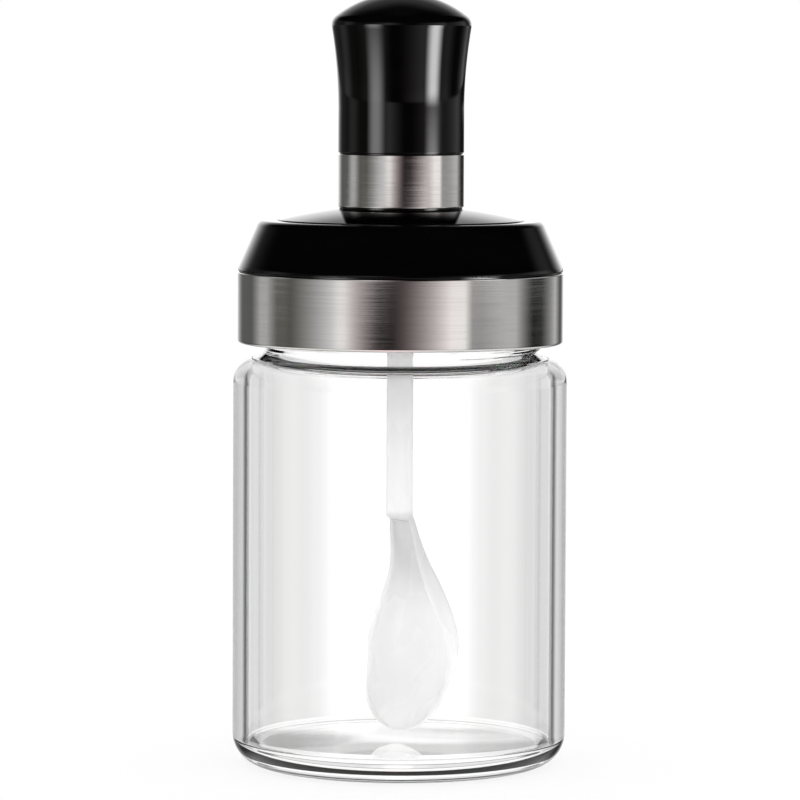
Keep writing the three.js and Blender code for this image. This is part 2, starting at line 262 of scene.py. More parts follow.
def silicone(_settings):
    """Translucent silicone with a soft, dusty sheen."""
    material, tree, shader = new_material(
        "silicone", Transmission_Weight=0.35, IOR=1.41, Subsurface_Weight=0.25,
        Subsurface_Scale=0.0008)
    clean, dusty = (0.86, 0.87, 0.86, 1.0), (0.78, 0.79, 0.78, 1.0)
    dust = noise(tree, (900, 900, 900), detail=3.0)
    feed(shader, "Base Color", mix_colour(tree, dust, clean, dusty))
    feed(shader, "Roughness", 0.42 + dust.ramp(0.4, 0.8) * 0.16)
    return material


# Where the painted shade on the scoop's neck grows and where it ends, in millimetres above the
# scoop's end
NECK_PAINTED_SHADE_GROWS = (-24.0, -5.0)
NECK_PAINTED_SHADE_ENDS = (-0.5, 1.5)
CLOUD_SHADE = 0.965  # of the light in the plastic's clouds


def milky_plastic(settings):
    """Natural polypropylene: white, slightly see-through, with soft clouds from the flow in the
    mould and a painted shade that greys the scoop's neck, whose hollow faces downwards."""
    material, tree, shader = new_material(
        "milky plastic", Subsurface_Weight=settings.milk_depth, Subsurface_Scale=0.0012,
        Subsurface_Radius=(1.0, 1.0, 1.0), IOR=1.49)
    flow = noise(tree, (160, 160, 45), detail=3.0)
    light = (*settings.milk_colour, 1.0)
    shade = tuple(CLOUD_SHADE * level for level in settings.milk_colour) + (1.0,)
    clouds = mix_colour(tree, flow.ramp(0.35, 0.7), light, shade)
    height = axes(object_place(tree))[2]
    scoop_end = size("spoon").bottom + SCOOP_LENGTH
    grows = height.ramp(*((scoop_end + rise) * MM for rise in NECK_PAINTED_SHADE_GROWS))
    ends = height.ramp(*((scoop_end + rise) * MM for rise in NECK_PAINTED_SHADE_ENDS))
    # Painted shade: the neck's base colour is darkened where its hollow faces downwards
    neck = grows * (1.0 - ends) * settings.neck_painted_shade
    feed(shader, "Base Color", mix_colour(tree, neck, clouds, grey(1.0), mode="SUBTRACT"))
    feed(shader, "Roughness", 0.24 + flow.ramp(0.3, 0.8) * 0.08)
    ripple = noise(tree, (420, 420, 90), detail=2.0)
    bump(shader, ripple, strength=0.08, distance=0.0001)
    return material


# Turned pieces

def rounded(corners):
    """Points of an outline through corners (radius, height, fillet): each fillet is an arc, and an
    extra point beside each of its ends keeps the shading of the straight parts straight."""
    points = []
    count = len(corners)
    for index, (radius, height, *rest) in enumerate(corners):
        corner = Vector((radius, height))
        fillet = rest[0] if rest else 0.0
        before = Vector(corners[index - 1][:2])
        after = Vector(corners[(index + 1) % count][:2])
        if not fillet:
            points.append(tuple(corner))
            continue
        back = (before - corner).normalized()
        on = (after - corner).normalized()
        half = back.angle(on) / 2
        reach = fillet / math.tan(half)
        centre = corner + (back + on).normalized() * (fillet / math.sin(half))
        start = corner + back * reach - centre
        end = corner + on * reach - centre
        sweep = math.atan2(start.x * end.y - start.y * end.x, start.dot(end))
        steps = max(3, math.ceil(abs(sweep) / ARC_STEP))
        if (before - corner).length > reach + 2 * SUPPORT:
            points.append(tuple(corner + back * (reach + SUPPORT)))
        for step in range(steps + 1):
            turn = sweep * step / steps
            points.append((
                centre.x + start.x * math.cos(turn) - start.y * math.sin(turn),
                centre.y + start.x * math.sin(turn) + start.y * math.cos(turn)))
        if (after - corner).length > reach + 2 * SUPPORT:
            points.append(tuple(corner + on * (reach + SUPPORT)))
    return points


def dense(points, low, high, spacing):
    """The outline with extra points on every stretch between two heights, so that a thread can be
    raised."""
    slack = 0.01
    result = []
    for (r0, z0), (r1, z1) in zip(points, points[1:] + points[:1]):
        result.append((r0, z0))
        inside = low - slack <= min(z0, z1) and max(z0, z1) <= high + slack
        steps = math.ceil(math.hypot(r1 - r0, z1 - z0) / spacing) if inside else 1
        for step in range(1, steps):
            share = step / steps
            result.append((r0 + (r1 - r0) * share, z0 + (z1 - z0) * share))
    return result


def turned_mesh(name, outline, segments):
    """Turns an outline that runs out along its bottom, up its outside and back in along its top."""
    turns = [2 * math.pi * step / segments for step in range(segments)]
    vertices, rings = [], []
    for radius, height in outline:
        if radius < ON_AXIS:
            rings.append([len(vertices)] * segments)
            vertices.append((0.0, 0.0, height * MM))
            continue
        rings.append(range(len(vertices), len(vertices) + segments))
        vertices += [(radius * MM * math.cos(turn), radius * MM * math.sin(turn), height * MM)
                     for turn in turns]
    open_ends = outline[0][0] < ON_AXIS and outline[-1][0] < ON_AXIS
    following = rings[1:] if open_ends else rings[1:] + rings[:1]
    faces = []
    for low, high in zip(rings, following):
        for step in range(segments):
            on = (step + 1) % segments
            faces.append(tuple(dict.fromkeys((low[step], low[on], high[on], high[step]))))
    return closed_mesh(name, vertices, faces)


def closed_mesh(name, vertices, faces):
    mesh = bpy.data.meshes.new(name)
    mesh.from_pydata(vertices, [], faces)
    mesh.polygons.foreach_set("use_smooth", [True] * len(faces))
    mesh.set_sharp_from_angle(angle=SHARP_ANGLE)
    return mesh


def add_object(name, data):
    made = bpy.data.objects.new(name, data)
    bpy.context.scene.collection.objects.link(made)
    return made


def add_piece(name, mesh, material):
    mesh.materials.append(material)
    return add_object(name, mesh)


def hand_over(piece, body, slot, *nodes):
    """Attaches the piece to the body that it rides on and hides the imported parts that it stands
    for.
    The slot is not used.
    """
    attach(piece, body)
    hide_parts(*nodes)


GLASS_WALL = 2.8
GLASS_FLOOR = 5.5
SHOULDER = 85.5
SHOULDER_UNDERSIDE = 83.7
COLLAR_MOUTH = 24.2
SCREW_HOLE = 1.9
SHEET = 0.5  # thickness of the two steel bands


def glass_outline():
    radius, _, top = size("glass_jar")
    gasket_overhang = 1.2
    neck = size("neck_gasket").radius - gasket_overhang
    neck_inner = neck - GLASS_WALL
    inner = radius - GLASS_WALL
    return rounded([
        (0.0, 0.0), (radius, 0.0, 6.6), (radius, SHOULDER, 5.0), (neck, SHOULDER, 3.0),
        (neck, top, 1.2), (neck_inner, top, 1.2), (neck_inner, SHOULDER_UNDERSIDE, 3.0),
        (inner, SHOULDER_UNDERSIDE, 3.0), (inner, GLASS_FLOOR, 0.35), (0.0, GLASS_FLOOR)])


def insert_outline():
    """The screw ring, which ends inside the steel band, so that the glass shows below it."""
    skirt_rise, skirt_wall, flange = 0.5, 1.9, 1.7
    bottom = size("collar_band").bottom + skirt_rise
    outer, _, top = size("collar_thread_insert")
    inner = outer - skirt_wall
    return rounded([
        (inner, bottom, 0.4), (outer, bottom, 0.4), (outer, top, 0.4), (COLLAR_MOUTH, top, 0.4),
        (COLLAR_MOUTH, top - flange, 0.4), (inner, top - flange, 0.3)])


def ring_outline(inner, outer, bottom, top, edge):
    return rounded([
        (inner, bottom, edge), (outer, bottom, edge), (outer, top, edge), (inner, top, edge)])


def bezel_outline():
    """Down over the screw ring, up past the seam above the band, over the slope to the flat top,
    and into the recess that the lid sits in."""
    foot, bottom, top = size("collar_shell")
    sleeve = size("collar_thread_insert").radius + SEAT_GAP
    band_top = size("collar_band").top
    seam, wall, underside = 25.8, 1.6, 99.8
    ledge = top - 1.8
    ceiling = ledge - wall
    edge = top - 10.5
    slope_start = edge + 0.52
    flat = foot - 4.4
    step_in = foot - 0.1
    slope = (foot - flat) / (top - slope_start)
    level_wall = wall * math.hypot(1.0, slope)
    inner_foot = slope_start + (foot - level_wall - sleeve) / slope
    inner_ceiling = foot - slope * (ceiling - slope_start) - level_wall
    return rounded([
        (COLLAR_MOUTH, underside, 0.2), (seam, underside, 0.2), (seam, ceiling, 0.3),
        (inner_ceiling, ceiling, 0.6), (sleeve, inner_foot, 1.0), (sleeve, bottom, 0.2),
        (sleeve + wall, bottom, 0.2), (sleeve + wall, band_top + SEAM, 0.02),
        (step_in, band_top + SEAM, 0.05), (step_in, edge, 0.05), (foot, edge, 0.12),
        (foot, slope_start, 2.0), (flat, top, 1.5), (seam, top, 0.4), (seam, ledge, 0.2),
        (COLLAR_MOUTH, ledge, 0.3)])


def band_outline():
    """The collar's band, whose lower edge is curled in as far as the lip."""
    radius, bottom, top = size("collar_band")
    lip = size("collar_thread_insert").radius + 0.9
    return rounded([
        (lip, bottom, 0.1), (radius, bottom, 0.7), (radius, top, 0.12), (radius - SHEET, top, 0.1),
        (radius - SHEET, bottom + SHEET, 0.2), (lip, bottom + SHEET, 0.1)])


def knob_band_outline():
    radius, bottom, top = size("knob_band")
    return ring_outline(radius - SHEET, radius, bottom, top, edge=0.12)


class LidShape:
    """The lid's dome, with the round seat in its middle into which the knob's foot is sunk."""
    radius = 25.5
    edge_bottom = 112.8
    edge_height = 1.65
    edge_round = 0.35
    crown = 3.15
    land = 12.9
    sink = 0.84
    wall = 1.6

    @classmethod
    def height(cls, radius):
        share = radius / cls.radius
        return cls.edge_bottom + cls.edge_height + cls.crown * (1 - share ** 2)

    @classmethod
    def seat(cls):
        return cls.height(cls.land) - cls.sink


def lid_outline():
    lid = LidShape
    seat = lid.seat()
    under = seat - lid.wall
    rim_inner = 23.5
    dome_steps = 14
    outer, inner = lid.radius - lid.edge_round, lid.land + 0.25
    radii = [outer + (inner - outer) * step / dome_steps for step in range(dome_steps + 1)]
    dome = [(radius, lid.height(radius)) for radius in radii]
    return rounded([
        (SCREW_HOLE, under, 0.1), (lid.land, under, 0.2),
        (rim_inner, lid.height(rim_inner) - lid.wall, 0.2), (rim_inner, lid.edge_bottom, 0.1),
        (lid.radius, lid.edge_bottom, 0.1), (lid.radius, lid.edge_bottom + lid.edge_height, 0.2),
        *dome, (lid.land, lid.height(lid.land), 0.12), (lid.land, seat, 0.1),
        (SCREW_HOLE, seat, 0.1)])


def plug_outline():
    """The spoon's socket, the plug's side with the seal's groove, and the tower for the screw."""
    lid = LidShape
    radius, wall, bottom = 23.2, 1.5, 102.0
    groove, groove_bottom, groove_top = 22.3, 106.0, 108.6
    socket, socket_outer, tower = 3.1, 4.9, 6.0
    socket_mouth = size("lid_plug").bottom
    skirt_top = lid.height(radius) - lid.wall - SEAT_GAP
    tower_top = lid.seat() - lid.wall - SEAT_GAP
    socket_ceiling = tower_top - 5.3
    return rounded([
        (socket, socket_mouth, 0.3), (socket_outer, socket_mouth, 0.6),
        (socket_outer, bottom, 0.6), (radius, bottom, 1.2), (radius, groove_bottom, 0.1),
        (groove, groove_bottom, 0.1), (groove, groove_top, 0.1), (radius, groove_top, 0.1),
        (radius, skirt_top, 0.2), (radius - wall, skirt_top, 0.2),
        (radius - wall, bottom + wall, 0.8), (tower, bottom + wall, 0.6), (tower, tower_top, 0.2),
        (SCREW_HOLE, tower_top, 0.1), (SCREW_HOLE, socket_ceiling, 0.1),
        (socket, socket_ceiling, 0.1)])


def foot_outline():
    """A flange in the lid's seat, the core inside the band, and rings that fill the seams."""
    _, bottom, top = size("knob_core")
    flange, ring, core, spigot = 12.6, 12.9, 12.35, 11.0
    flange_top = bottom + 0.64
    band_foot = size("knob_band").bottom - SEAM
    band_head = size("knob_band").top + SEAM
    handle_foot = size("knob_grip").bottom - SEAM
    return rounded([
        (SCREW_HOLE, bottom, 0.1), (flange, bottom, 0.3), (flange, flange_top, 0.05),
        (ring, flange_top, 0.05), (ring, band_foot, 0.05), (core, band_foot, 0.05),
        (core, band_head, 0.02), (ring, band_head, 0.05), (ring, handle_foot, 0.05),
        (spigot, handle_foot, 0.05), (spigot, top, 0.2), (SCREW_HOLE, top, 0.1)])


def handle_outline():
    """Straight out of the band, then a flare that quickens up to the rounded top edge, then the
    dome. The bore holds the foot's spigot and, above it, the screw."""
    widest, bottom, top = size("knob_grip")
    radius = size("knob_band").radius
    flare_low, flare_high = bottom + 9.5, top - 6.9
    flare_power, flare_steps, dome_steps = 1.9, 24, 16
    dome_radius, edge_width = 22.0, 0.88
    bore, boss, bore_top, boss_bottom, hole_top = 11.3, 5.0, top - 5.7, bottom + 5.8, bottom + 13.5
    edge = widest - edge_width
    slope = math.asin(edge / dome_radius)
    reach = edge_width / math.cos(slope)

    def dome(at):
        return top - dome_radius + math.sqrt(dome_radius ** 2 - at ** 2)

    side = []
    for step in range(flare_steps + 1):
        share = step / flare_steps
        side.append((radius + (widest - radius) * share ** flare_power,
                     flare_low + (flare_high - flare_low) * share))
    crown = []
    for step in range(1, dome_steps):
        at = edge * (1 - step / dome_steps)
        crown.append((at, dome(at)))
    return rounded([
        (0.0, hole_top), (SCREW_HOLE, hole_top), (SCREW_HOLE, boss_bottom, 0.1),
        (boss, boss_bottom, 0.2), (boss, bore_top, 0.4), (bore, bore_top, 2.0),
        (bore, bottom, 0.15), (radius, bottom, 0.15), *side,
        (widest, dome(edge) - edge_width * math.tan(slope),
         reach / math.tan((math.pi / 2 - slope) / 2)),
        *crown, (0.0, top)])


def screw_outline():
    _, bottom, top = size("knob_screw")
    recess_low, recess_high, head, shank = 1.3, 1.0, 2.75, 1.25
    recess_top, head_top, tip = bottom + 1.1, bottom + 1.8, top - 1.4
    return rounded([
        (0.0, recess_top), (recess_high, recess_top), (recess_low, bottom, 0.1),
        (head, bottom, 0.5), (head, head_top, 0.1), (shank, head_top, 0.1), (shank, tip),
        (0.0, top)])


# The spoon

SPOON_TURN = math.radians(-40)
STEM_RADIUS = 2.8
STEM_STEPS = 40
STEM_EDGE = 0.5  # rounding of the stem's upper end
SCOOP_LENGTH = 45.4
SCOOP_HALF_WIDTH = 11.6
SCOOP_DEPTH = 10.5
SCOOP_SET_BACK = 3.0
SCOOP_WALL = 1.2
SCOOP_STEPS = 230
TIP_CROWDING = 1.15  # above 1, the rings stand closer together at the tip
TIP_RING_SHARES = (0.25, 0.6, 0.85)
RIM_WIDTH_SHARE = 0.3
RIM_TURN = math.pi / 15  # the part of the stem's round that each rim turns into
HOLLOW_END_SHARES = (0.965, 1.0)
HOLLOW_LEAST = 0.05
BACK_STEPS = 44
RIM_STEPS = 6

# Stations from the tip up: the share of the scoop's length, then of its half width, depth and
# set-back
SCOOP_STATION_SHARES = (
    (0, 0.1, 0.11, -0.22), (0.012, 0.28, 0.14, -0.2), (0.04, 0.54, 0.19, -0.15),
    (0.1, 0.78, 0.28, 0.07), (0.17, 0.91, 0.4, 0.42), (0.245, 0.985, 0.54, 0.85),
    (0.34, 1, 0.76, 1), (0.43, 0.965, 0.93, 0.95), (0.52, 0.81, 1, 0.85),
    (0.6, 0.65, 0.96, 0.76), (0.68, 0.5, 0.82, 0.73), (0.76, 0.4, 0.6, 0.67),
    (0.84, 0.345, 0.42, 0.48), (0.92, 0.3, 0.32, 0.22),
    (1, STEM_RADIUS / SCOOP_HALF_WIDTH, STEM_RADIUS / SCOOP_DEPTH, 0))


def smoothstep(value, low, high):
    share = min(max((value - low) / (high - low), 0.0), 1.0)
    return share * share * (3 - 2 * share)


def through(stations, share):
    """The smooth curve through the stations, at a share of its run."""
    last = len(stations) - 1
    run = min(share * last, last - 1e-9)
    index = int(run)
    at = run - index
    first, second = stations[index], stations[index + 1]
    before = stations[index - 1] if index else [2 * a - b for a, b in zip(first, second)]
    after = (stations[index + 2] if index + 2 <= last
             else [2 * b - a for a, b in zip(first, second)])
    result = []
    for p0, p1, p2, p3 in zip(before, first, second, after):
        t1, t2 = (p2 - p0) / 2, (p3 - p1) / 2
        result.append(p1 + t1 * at + (3 * (p2 - p1) - 2 * t1 - t2) * at ** 2
                      + (2 * (p1 - p2) + t1 + t2) * at ** 3)
    return result


def scoop_ring(half_width, depth, set_back, run_out):
    """The back of the scoop, one rounded rim, the hollow and the other rim. Where the scoop ends,
    the hollow swells forward until the ring is the round of the stem."""
    wall = min(SCOOP_WALL, half_width * RIM_WIDTH_SHARE)
    lip = wall / 2 * (1 - run_out)
    front = set_back + lip
    hollow_width = half_width - wall
    hollow_depth = max(depth - SCOOP_WALL, HOLLOW_LEAST) - lip / 2
    ring = []

    def swollen(point, angle):
        stem = (STEM_RADIUS * math.cos(angle), STEM_RADIUS * math.sin(angle))
        return tuple(a + (b - a) * run_out for a, b in zip(point, stem))

    def rim(centre, low, high):
        for step in range(1, RIM_STEPS):
            share = step / RIM_STEPS
            turn = math.pi * (1 + share)
            point = (centre + wall / 2 * math.cos(turn), front + lip * math.sin(turn))
            ring.append(swollen(point, low + (high - low) * share))

    for step in range(BACK_STEPS + 1):
        angle = math.pi * step / BACK_STEPS
        ring.append((half_width * math.cos(angle), front + (depth - lip) * math.sin(angle)))
    rim(-(half_width - wall / 2), math.pi, math.pi + RIM_TURN)
    for step in range(BACK_STEPS + 1):
        share = step / BACK_STEPS
        angle = math.pi * (1 - share)
        point = (hollow_width * math.cos(angle), front + hollow_depth * math.sin(angle))
        ring.append(swollen(point, math.pi + RIM_TURN + (math.pi - 2 * RIM_TURN) * share))
    rim(half_width - wall / 2, 2 * math.pi - RIM_TURN, 2 * math.pi)
    return ring


def spoon_mesh(name):
    _, tip, top = size("spoon")
    rings = []
    for step in range(SCOOP_STEPS + 1):
        share = (step / SCOOP_STEPS) ** TIP_CROWDING
        along, width, depth, back = through(SCOOP_STATION_SHARES, share)
        ring = scoop_ring(width * SCOOP_HALF_WIDTH, depth * SCOOP_DEPTH, back * SCOOP_SET_BACK,
                          smoothstep(along, *HOLLOW_END_SHARES))
        rings.append((ring, tip + along * SCOOP_LENGTH))
    scoop_end = tip + SCOOP_LENGTH
    stem_length = top - STEM_EDGE - SUPPORT - scoop_end
    stem = scoop_ring(STEM_RADIUS, STEM_RADIUS, 0.0, 1.0)
    for step in range(1, STEM_STEPS + 1):
        rings.append((stem, scoop_end + stem_length * step / STEM_STEPS))
    for shrink, drop in ((0.0, STEM_EDGE), (STEM_EDGE, 0.0), (STEM_EDGE + 0.1, 0.0)):
        share = 1 - shrink / STEM_RADIUS
        rings.append(([(x * share, y * share) for x, y in stem], top - drop))
    return lofted(name, tip_cap(rings[0]) + rings)


def tip_cap(first):
    """Closes the tip with rings that shrink to it."""
    ring, height = first
    middle = [sum(values) / len(ring) for values in zip(*ring)]
    return [([tuple(m + (value - m) * share for value, m in zip(point, middle)) for point in ring],
             height) for share in TIP_RING_SHARES]


def lofted(name, rings):
    """Turns the rings about the stem and joins each to the next."""
    count = len(rings[0][0])
    cosine, sine = math.cos(SPOON_TURN), math.sin(SPOON_TURN)
    vertices = []
    for ring, height in rings:
        for x, y in ring:
            vertices.append((
                (x * cosine - y * sine) * MM, (x * sine + y * cosine) * MM, height * MM))
    faces = []
    for row in range(len(rings) - 1):
        for step in range(count):
            a, b = row * count + step, row * count + (step + 1) % count
            faces.append((a, b, b + count, a + count))
    end = count * (len(rings) - 1)
    faces.append(tuple(reversed(range(count))))
    faces.append(tuple(range(end, end + count)))
    return closed_mesh(name, vertices, faces)


# Screw threads

THREAD_TREE = "screw thread"
THREAD_SIZES = ("Pitch", "Depth", "Start Height", "First Turn", "Last Turn", "Inner Radius",
                "Outer Radius")
THREAD_START = 88.2  # height at which the jar's thread starts
ROW_GAP = 0.18  # between the rows of points that the jar's thread is raised on
THREAD_RUN_OUT = 0.12  # of a turn, over which the ridge grows and ends
RIDGE_SIDE = (0.12, 0.33)  # of the pitch, from the crest to the ridge's foot


def thread_tree():
    """A Geometry Nodes tree that raises a screw thread on a turned piece whose outline has rows
    close enough together. Only points between two radii move, out from the axis or, for a negative
    depth, in to it."""
    tree = bpy.data.node_groups.new(THREAD_TREE, "GeometryNodeTree")
    for way, name, kind in (
            ("INPUT", "Geometry", "Geometry"), *(("INPUT", name, "Float") for name in THREAD_SIZES),
            ("INPUT", "Material", "Material"), ("OUTPUT", "Geometry", "Geometry")):
        tree.interface.new_socket(name, in_out=way, socket_type="NodeSocket" + kind)
    given = add_node(tree, "NodeGroupInput")
    pitch, depth, start, first, last, inner, outer = map(given.out, THREAD_SIZES)
    x, y, z = axes(add_node(tree, "GeometryNodeInputPosition"))
    square = x * x + y * y
    radius = square.math("SQRT", square)
    turn = y.math("ARCTAN2", y, x) / (2 * math.pi)
    phase = (z - start) / pitch - turn
    crest = phase.nearest()
    ridge = 1.0 - abs(phase - crest).ramp(*RIDGE_SIDE)
    along = crest + turn
    run_in = along.ramp(first, first + THREAD_RUN_OUT)
    run_out = 1.0 - along.ramp(last - THREAD_RUN_OUT, last)
    wall = (radius > inner) * (radius < outer)
    lift = ridge * run_in * run_out * wall * depth / radius
    offset = add_node(tree, "ShaderNodeCombineXYZ", {"X": x * lift, "Y": y * lift})
    moved = add_node(tree, "GeometryNodeSetPosition", {
        "Geometry": given.out("Geometry"), "Offset": offset})
    real = add_node(tree, "GeometryNodeRealizeInstances", {"Geometry": moved})
    finished = add_node(tree, "GeometryNodeSetMaterial", {
        "Geometry": real, "Material": given.out("Material")})
    add_node(tree, "NodeGroupOutput", {"Geometry": finished})
    return tree


def cut_thread(piece, pitch, depth, start, turns, radii):
    """Runs the thread tree on a piece and keeps the result as its plain mesh. The pitch and the
    depth are in metres, the height at which the thread starts and the two radii in millimetres."""
    tree = bpy.data.node_groups.get(THREAD_TREE) or thread_tree()
    sizes = (pitch, depth, start * MM, *turns, *(radius * MM for radius in radii))
    values = dict(zip(THREAD_SIZES, sizes), Material=piece.data.materials[0])
    modifier = piece.modifiers.new("thread", "NODES")
    modifier.node_group = tree
    for item in tree.interface.items_tree:
        if item.in_out == "INPUT" and item.name in values:
            modifier[item.identifier] = values[item.name]
    evaluated = piece.evaluated_get(bpy.context.evaluated_depsgraph_get())
    mesh = bpy.data.meshes.new_from_object(evaluated)
    piece.modifiers.clear()
    old = piece.data
    piece.data = mesh
    bpy.data.meshes.remove(old)
    mesh.set_sharp_from_angle(angle=SHARP_ANGLE)


# Settings that a user would change

def colour_property(name, description, default):
    return bpy.props.FloatVectorProperty(
        name=name, description=description, subtype="COLOR", size=3, min=0.0, max=1.0,
        default=default)


def share_property(name, description, default, most=1.0):
    return bpy.props.FloatProperty(
        name=name, description=description, subtype="FACTOR", min=0.0, max=most, default=default)


def level_property(name, description, default):
    return bpy.props.FloatProperty(
        name=name, description=description, min=0.0, max=4.0, default=default)


class JAR_PG_finishes(bpy.types.PropertyGroup):
    """Colours and finishes of the jar's materials."""
    glass_tint: colour_property(
        "Glass tint", "Colour of the light that the glass lets through", (1.0, 1.0, 1.0))
    glass_wave: share_property(
        "Glass waviness", "Strength of the slow waves in the glass wall", 0.06)
    black_colour: colour_property(
        "Black", "Colour of the polished black plastic", (0.0009, 0.0009, 0.001))
    black_roughness: share_property(
        "Black roughness", "Roughness of the polished black plastic", 0.045)
    steel_light: colour_property(
        "Steel, light", "Light streaks of the brushed steel", (0.75, 0.74, 0.73))
    steel_dark: colour_property(
        "Steel, dark", "Dark streaks of the brushed steel", (0.72, 0.71, 0.7))
    steel_roughness: share_property(
        "Steel roughness", "Roughness of the steel across its brushing", 0.06)
    brush_depth: share_property("Brushing", "Strength of the brushed scratches", 0.015)
    milk_colour: colour_property(
        "Spoon", "Colour of the spoon's milky plastic", (0.93, 0.932, 0.933))
    # Strength of the painted shade on the scoop's neck, which darkens its base colour where the
    # hollow faces downwards
    neck_painted_shade: share_property(
        "Neck shade", "How much darker the thin neck of the scoop is than its bowl", 0.24,
        most=0.8)
    milk_depth: share_property(
        "Spoon translucency", "How much of the light goes through the spoon's surface", 0.3)


class JAR_PG_threads(bpy.types.PropertyGroup):
    """Sizes of the screw thread between the glass and the collar."""
    pitch: bpy.props.FloatProperty(
        name="Pitch", description="Rise of the thread in one turn", unit="LENGTH",
        min=0.002, max=0.006, default=0.004)
    depth: bpy.props.FloatProperty(
        name="Depth", description="How far each thread stands out of its wall", unit="LENGTH",
        min=0.0003, max=0.0014, default=0.0012)


class JAR_PG_studio(bpy.types.PropertyGroup):
    """Level of the studio light and colour of the floor."""
    plain_level: level_property(
        "Plain level", "Brightness of the even light from all sides", 1.0)
    shadow_depth: share_property(
        "Shadow depth", "How much of the jar's shadow the white floor shows", 0.25)
    glass_level: level_property(
        "Glass level", "Brightness of the white backdrop seen through the glass", 1.13)
    inside_level: level_property(
        "Inside level", "Brightness of the even light that falls into the glass", 1.72)


FINISHES = {
    "clear_glass": clear_glass, "gloss_black": gloss_black, "moulded_black": moulded_black,
    "brushed_steel": brushed_steel, "zinc_steel": zinc_steel, "silicone": silicone,
    "milky_plastic": milky_plastic}
made_materials = {}


def material_for(slot):
    """The material of a slot, made when it is first asked for."""
    if slot not in made_materials:
        made_materials[slot] = FINISHES[slot](bpy.context.scene.jar_finishes)
    return made_materials[slot]


def turned_piece(name, node, body, slot, outline, segments=ROUND_SEGMENTS, thread=None):
    piece = add_piece(name, turned_mesh(name, outline, segments), material_for(slot))
    if thread:
        cut_thread(piece, **thread)
    hand_over(piece, body, slot, node)


# The studio

# The strip lights round the jar. Of each: the angles at which its glow begins, is full, starts to
# fade and is gone, from the front towards the right, and how much it adds to the root of the
# brightness
STRIPS = (
    (-250, -240, -172, -150, 0.61),  # the backdrop, on the left
    (-250, -240, -89, -50, 0.23),  # a broad fill on the left
    (-130, -117, -109, -97, 0.35),  # a narrow strip at the left edge
    (-84, -44, -40, -15, 0.87),  # the left key light
    (-6, 36, 46, 52, 0.92),  # the right key light
    (46, 52, 89, 108, 0.47),  # a large panel beside it
    (59, 81, 89, 108, 0.16),  # and the lamp behind that panel
    (108, 125, 240, 250, 0.1),  # a faint fill on the right
    (118, 141, 142, 157, 0.53),  # a narrow strip at the right edge
    (155, 170, 240, 250, 0.75))  # the backdrop, on the right
DARK_ROOT = 0.12  # the root of the brightness between the strips
# The faint colour of their light: an angle, its red, its green and its blue
STRIP_TINTS = (
    (-180, 1, 1, 1), (-110, 1, 1, 1), (-90, 1, 1, 0.88), (-60, 1, 1, 1), (-40, 1.03, 1, 1),
    (-12, 1.3, 1, 1), (20, 1.1, 1, 1), (46, 1.02, 1, 0.98), (70, 1, 1, 1), (180, 1, 1, 1))

# The knob, which is above the collar, mirrors the strips turned to the right and spread: on the
# left and on the right of the turned front
STRIP_TURN = 23
STRIP_STRETCH = (1.07, 1.14)

# Rises in degrees between which one part of the mirrored light goes over into the next
TO_THE_FLOOR = (-18.0, -32.0)
OUT_OF_THE_FOOT = (-6.0, -3.9)  # the strips' lower ends, which are dimmer
TO_THE_TURNED_STRIPS = (-2.5, -2.3)
TO_THE_DARK = (-1.2, -0.3)
OUT_OF_THE_STRIPS = (12.0, 24.0)

FOOT_SHARE = 0.8
FLOOR_LEVEL = 0.95
BACKDROP_LEVEL = 1.4
BACKDROP_TURNS = (0.39, 0.46)  # how far round it begins and is full
BACKDROP_FADES = ((0.75, 13.0, 26.0), (0.4, 26.0, 43.0), (0.22, 44.0, 64.0))  # a loss, two rises


def strip_root(angle):
    """The root of the strips' brightness at an angle: each strip's glow is a slope, a level top
    and a slope."""
    root = DARK_ROOT
    for begin, full, fade, gone, glow in STRIPS:
        slope = min((angle - begin) / (full - begin), (gone - angle) / (gone - fade), 1.0)
        root += glow * max(slope, 0.0)
    return root


def mirrored_light(tree, x, y, z):
    """The level and the tint of what gloss and metal mirror: strip lights, under them a white
    floor, and over them darkness but for the bright backdrop behind, which fades upwards."""
    around = x.math("ARCTAN2", x, -y) / (2 * math.pi)
    rise = z.math("ARCSINE", z) * (180 / math.pi)
    corners = {corner for strip in STRIPS for corner in strip[:4] if abs(corner) < 180}
    roots = [((angle + 180) / 360, grey(strip_root(angle)))
             for angle in sorted(corners | {-180, 180})]
    tints = [((angle + 180) / 360, (*tint, 1.0)) for angle, *tint in STRIP_TINTS]
    bent = around - STRIP_TURN / 360
    bent = bent / blend(*STRIP_STRETCH, bent.ramp(-0.01, 0.01))
    strip = blend(around, bent, rise.ramp(*TO_THE_TURNED_STRIPS)) + 0.5
    root = add_node(tree, "ShaderNodeValToRGB", {"Fac": strip}, stops=roots)
    tint = add_node(tree, "ShaderNodeValToRGB", {"Fac": strip}, stops=tints)
    strips = root * root * blend(FOOT_SHARE, 1.0, rise.ramp(*OUT_OF_THE_FOOT))
    backdrop = BACKDROP_LEVEL
    for loss, low, high in BACKDROP_FADES:
        backdrop = backdrop - loss * rise.ramp(low, high)
    above = blend(strips * (1.0 - rise.ramp(*OUT_OF_THE_STRIPS)), backdrop,
                  abs(around).ramp(*BACKDROP_TURNS))
    level = blend(strips, above, rise.ramp(*TO_THE_DARK))
    return blend(level, FLOOR_LEVEL, rise.ramp(*TO_THE_FLOOR)), tint


# What is seen through the glass: how much its level changes, and between which two angles from the
# middle of a side
GREY_STEPS = ((0.24, 1.5, 4.0), (0.08, 5.0, 8.0))
FRONT_EDGE = (0.6, 31.0, 38.5)
SIDE_CORNER = (0.32, 40.0, 43.5)
# A dark card at an angle from the middle of the other sides, and its soft edge
CARD_LOSS, CARD_ANGLE, CARD_EDGE = 0.4, 29.3, (1.0, 2.6)
# The dark room above, and the plain white above and below all of it, by the sine of the rise
ROOM_LEVEL, ROOM_RISE, STEEP_RISE = 0.12, (0.1425, 0.1455), (0.157, 0.17)


